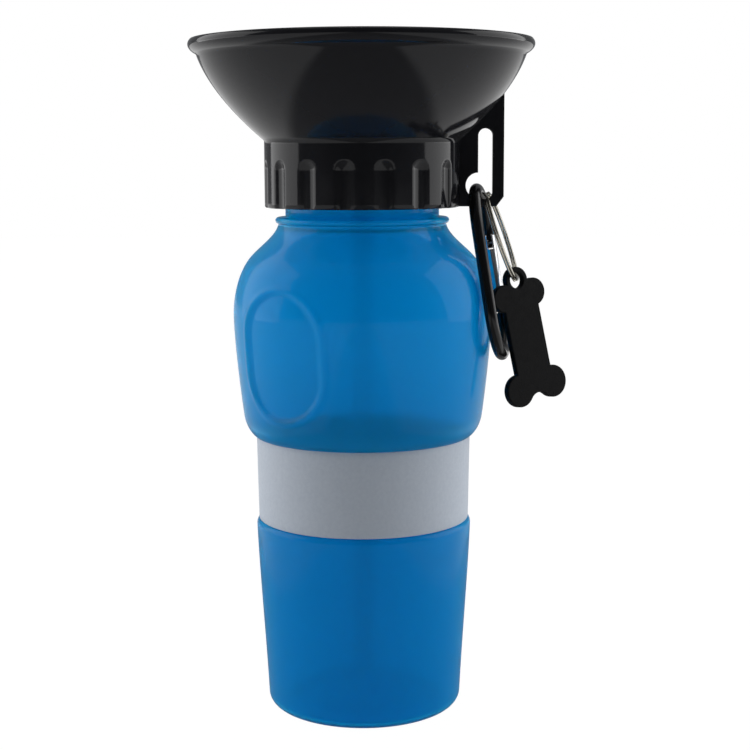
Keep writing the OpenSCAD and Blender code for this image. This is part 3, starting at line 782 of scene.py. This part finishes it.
# %% [markdown]
# ## Materials
# Each finish is a Principled shader. What is the same all over sits on the shader's own socket.
# What changes over the surface comes through a group: patchy roughness, a fine bump, and two close
# shades mixed by noise.

# %% A finish with grain and handling
METAL = {"Metallic": 1.0}


def finish(name, colour, second, rough, grain, patch, own=None):
    """A material with two close colours, a roughness range and a fine bump.

    rough is (lowest, highest) roughness, grain is (scale, depth) and patch the scale of the
    marks that handling leaves. own gives values for the shader's own sockets.
    """
    material = bpy.data.materials.new(name)
    material.use_nodes = True
    tree = material.node_tree
    shader = tree.nodes["Principled BSDF"]
    for socket, value in (own or {}).items():
        shader.inputs[socket].default_value = value
    handling = tree.nodes.new("ShaderNodeGroup")
    handling.node_tree = hand_group
    handling.inputs["Scale"].default_value = patch
    handling.inputs["Low"].default_value, handling.inputs["High"].default_value = rough
    surface = tree.nodes.new("ShaderNodeGroup")
    surface.node_tree = grain_group
    surface.inputs["Scale"].default_value, surface.inputs["Depth"].default_value = grain
    shades = tree.nodes.new("ShaderNodeMix")
    shades.name = "shades"
    shades.data_type = "RGBA"
    shades.inputs["A"].default_value = colour
    shades.inputs["B"].default_value = second
    tree.links.new(handling.outputs["Mask"], shades.inputs["Factor"])
    tree.links.new(shades.outputs["Result"], shader.inputs["Base Color"])
    tree.links.new(handling.outputs["Roughness"], shader.inputs["Roughness"])
    tree.links.new(surface.outputs["Normal"], shader.inputs["Normal"])
    return material


# %% [markdown]
# ## The blue bottle
# Blown plastic lets light through and scatters it, so the shader passes part of the light and
# tints it. Its IOR stays near 1, because a thin wall hardly bends light. A thin coat gives the
# gloss. The two shades are mixed by height: the lighter blue over the bulb, the darker over the
# lower body.

# %% The blue bottle
bottle_blue = finish("bottle_blue", BODY_BLUE, BULB_BLUE, (0.285, 0.34), (300.0, 0.015), 25.0, {
    "Transmission Weight": 0.68, "IOR": 1.14, "Specular IOR Level": 0.05,
    "Coat Weight": 0.25, "Coat Roughness": 0.03, "Coat IOR": 1.35})
blue_tree = bottle_blue.node_tree
blown = blue_tree.nodes.new("ShaderNodeTexCoord")
level = blue_tree.nodes.new("ShaderNodeSeparateXYZ")
# The blue gets lighter with height, from below the band up to the bulb.
blue_by_height = map_range(blue_tree, (band_top_z - 5) * MM, (WIDEST_Z - 10) * MM)
blue_tree.links.new(blown.outputs["Object"], level.inputs["Vector"])
blue_tree.links.new(level.outputs["Z"], blue_by_height.inputs["Value"])
blue_tree.links.new(blue_by_height.outputs["Result"], blue_tree.nodes["shades"].inputs["Factor"])

# %% The other finishes
cap_gloss = finish("cap_gloss", CAP_BLACK, CAP_WORN, (0.08, 0.13), (900.0, 0.006), 90.0,
                   {"Specular IOR Level": 0.25})
band_matt = finish("band_matt", BAND_GREY, BAND_FLECK, (0.5, 0.62), (2600.0, 0.06), 900.0)
tag_matt = finish("tag_matt", TAG_BLACK, TAG_WORN, (0.5, 0.65), (1800.0, 0.12), 400.0,
                  {"Specular IOR Level": 0.1})
hook_black = finish("hook_black", HOOK_BLACK, HOOK_WORN, (0.14, 0.22), (1200.0, 0.01), 300.0,
                    {"Specular IOR Level": 0.3})
ring_nickel = finish("ring_nickel", RING_SILVER, RING_DULL, (0.16, 0.26), (1500.0, 0.02), 500.0,
                     METAL)
gate_bright = finish("gate_bright", GATE_SILVER, GATE_DULL, (0.18, 0.25), (1500.0, 0.02), 500.0,
                     METAL)
small_steel = finish("small_steel", STEEL, STEEL_DULL, (0.28, 0.36), (1500.0, 0.02), 500.0, METAL)
tube_clear = finish("tube_clear", TUBE_WHITE, TUBE_SHADE, (0.1, 0.18), (900.0, 0.01), 80.0,
                    {"Transmission Weight": 0.95, "IOR": 1.08})
seal_soft = finish("seal_soft", SEAL_GREY, SEAL_SHADE, (0.45, 0.6), (1500.0, 0.05), 300.0)
print("finishes", len(bpy.data.materials))


# %% Painting the pieces
def paint(piece, material):
    """One material for the whole piece."""
    piece.data.materials.clear()
    piece.data.materials.append(material)


for piece, material in (
        (bottle, bottle_blue), (band, band_matt), (bowl, cap_gloss), (tab, cap_gloss),
        (ring, ring_nickel), (tag, tag_matt), (nodes["neck_gasket"], seal_soft),
        (nodes["dip_tube"], tube_clear), (nodes["carabiner_body"], hook_black),
        (nodes["carabiner_gate"], gate_bright), (nodes["gate_pivot_rivet"], small_steel),
        (nodes["gate_latch_pin"], small_steel), (nodes["gate_spring"], small_steel),
        (nodes["gate_plunger"], small_steel)):
    paint(piece, material)
    print(piece.name, "is", material.name)

# %% [markdown]
# ## The studio
# The photograph has a white ground with no edge to it, large soft boxes on the left and right and
# hardly any light from the front: the band is pale at its sides and dim in the middle. The gloss
# of the bowl shows the rest, bright floor on both sides and a dark strip of it under the bottle.

# %% Shader helpers for the world and the floor
def background(tree, colour):
    """An emitting background shader of one colour."""
    node = tree.nodes.new("ShaderNodeBackground")
    node.inputs["Color"].default_value = colour
    return node


def mixed(tree, factor, first, second):
    """Two shaders mixed by a socket's value: all first at 0 and all second at 1."""
    node = tree.nodes.new("ShaderNodeMixShader")
    tree.links.new(factor, node.inputs["Fac"])
    tree.links.new(first, node.inputs[1])
    tree.links.new(second, node.inputs[2])
    return node.outputs["Shader"]


def seen_directly(tree, path):
    """1 for rays from the camera or through clear plastic: the greater of the two flags."""
    node = tree.nodes.new("ShaderNodeMath")
    node.operation = "MAXIMUM"
    tree.links.new(path.outputs["Is Camera Ray"], node.inputs[0])
    tree.links.new(path.outputs["Is Transmission Ray"], node.inputs[1])
    return node.outputs["Value"]


# %% The world
world = bpy.data.worlds.new("studio")
bpy.context.scene.world = world
world.use_nodes = True
studio = world.node_tree
studio.nodes.clear()
studio_out = studio.nodes.new("ShaderNodeOutputWorld")
studio_path = studio.nodes.new("ShaderNodeLightPath")
white = background(studio, (1, 1, 1, 1))
room = background(studio, (0.92, 0.96, 1.0, 1))
mirrored = background(studio, (0.95, 0.97, 1.0, 1))
toward = studio.nodes.new("ShaderNodeTexCoord")
facing = studio.nodes.new("ShaderNodeSeparateXYZ")
studio.links.new(toward.outputs["Generated"], facing.inputs["Vector"])

# The room is dark in front and light behind, for the light that it sheds and, more weakly, for
# what gloss reflects of it.
room_light = map_range(studio, -0.6, 0.2, 0.0, 0.95)
gloss_light = map_range(studio, -0.95, 0.3, 0.05, 0.22)
for strength, lit in ((room_light, room), (gloss_light, mirrored)):
    studio.links.new(facing.outputs["Y"], strength.inputs["Value"])
    studio.links.new(strength.outputs["Result"], lit.inputs["Strength"])
surroundings = mixed(studio, studio_path.outputs["Is Glossy Ray"],
                     room.outputs["Background"], mirrored.outputs["Background"])
shown = mixed(studio, seen_directly(studio, studio_path),
              surroundings, white.outputs["Background"])
studio.links.new(shown, studio_out.inputs["Surface"])
print("world", world.name, len(studio.nodes), "nodes")

# %% [markdown]
# ## The floor
# The paper under the bottle is white to its edges in the photograph. Lamps strong enough for
# that would wash the bottle out, so a ray from the camera meets mostly a plain white glow, with a
# little of the lit paper in it, which keeps the bottle's shadow. Gloss sees a dark strip along the
# middle and light paper beyond, as the bowl's underside shows. All other light meets plain paper.

# %% The floor
FLOOR_HALF = 3.0
STRIP_HALF = 0.13
STRIP_EDGE = 0.17
floor_mesh = bpy.data.meshes.new("floor")
floor_mesh.from_pydata(
    [(-FLOOR_HALF, -FLOOR_HALF, 0), (FLOOR_HALF, -FLOOR_HALF, 0),
     (FLOOR_HALF, FLOOR_HALF, 0), (-FLOOR_HALF, FLOOR_HALF, 0)], [], [(0, 1, 2, 3)])
floor = bpy.data.objects.new("floor", floor_mesh)
bpy.context.scene.collection.objects.link(floor)
print("floor", 2 * FLOOR_HALF, "m square")

# %% The floor's paper
floor_white = bpy.data.materials.new("floor_white")
floor_white.use_nodes = True
paper_tree = floor_white.node_tree
paper_tree.nodes.clear()
paper_out = paper_tree.nodes.new("ShaderNodeOutputMaterial")
paper_path = paper_tree.nodes.new("ShaderNodeLightPath")
place = paper_tree.nodes.new("ShaderNodeTexCoord")
across = paper_tree.nodes.new("ShaderNodeSeparateXYZ")
aside = paper_tree.nodes.new("ShaderNodeMath")
aside.operation = "ABSOLUTE"
strip = map_range(paper_tree, STRIP_HALF, STRIP_EDGE, 0.25, 0.9)
strip.interpolation_type = "SMOOTHSTEP"
paper = paper_tree.nodes.new("ShaderNodeBsdfDiffuse")
paper.inputs["Color"].default_value = (0.8, 0.8, 0.8, 1)
glow = paper_tree.nodes.new("ShaderNodeEmission")
glow.inputs["Strength"].default_value = 1.02
mirror = paper_tree.nodes.new("ShaderNodeEmission")
veil = paper_tree.nodes.new("ShaderNodeMixShader")
veil.inputs["Fac"].default_value = 0.97
for source, target in (
        (place.outputs["Object"], across.inputs["Vector"]),
        (across.outputs["X"], aside.inputs[0]),
        (aside.outputs["Value"], strip.inputs["Value"]),
        (strip.outputs["Result"], mirror.inputs["Strength"]),
        (paper.outputs["BSDF"], veil.inputs[1]),
        (glow.outputs["Emission"], veil.inputs[2])):
    paper_tree.links.new(source, target)
under_gloss = mixed(paper_tree, paper_path.outputs["Is Glossy Ray"],
                    paper.outputs["BSDF"], mirror.outputs["Emission"])
paper_shown = mixed(paper_tree, seen_directly(paper_tree, paper_path),
                    under_gloss, veil.outputs["Shader"])
paper_tree.links.new(paper_shown, paper_out.inputs["Surface"])
floor_mesh.materials.append(floor_white)
print("paper", len(paper_tree.nodes), "nodes")


# %% The soft boxes
def soft_box(name, place, target, width, height, radiance):
    """A rectangular area lamp at place that faces target, sizes in metres.

    Its power is radiance x pi x area, so that the face looks as bright as it is set.
    """
    data = bpy.data.lights.new(name, "AREA")
    data.shape = "RECTANGLE"
    data.size = width
    data.size_y = height
    data.energy = radiance * math.pi * width * height
    lamp = bpy.data.objects.new(name, data)
    bpy.context.scene.collection.objects.link(lamp)
    turned = (Vector(target) - Vector(place)).to_track_quat("-Z", "Y").to_matrix().to_4x4()
    lamp.matrix_world = Matrix.Translation(place) @ turned
    print(name, round(data.energy, 2), "W")


for side, reach in (("left", -0.85), ("right", 0.85)):
    soft_box("box_" + side, (reach, 0.22, 0.46), (0, 0, 0.15), 1.0, 0.9, 1.7)
soft_box("box_top", (0, 0.05, 1.2), (0, 0, 0.1), 0.8, 0.6, 1.1)
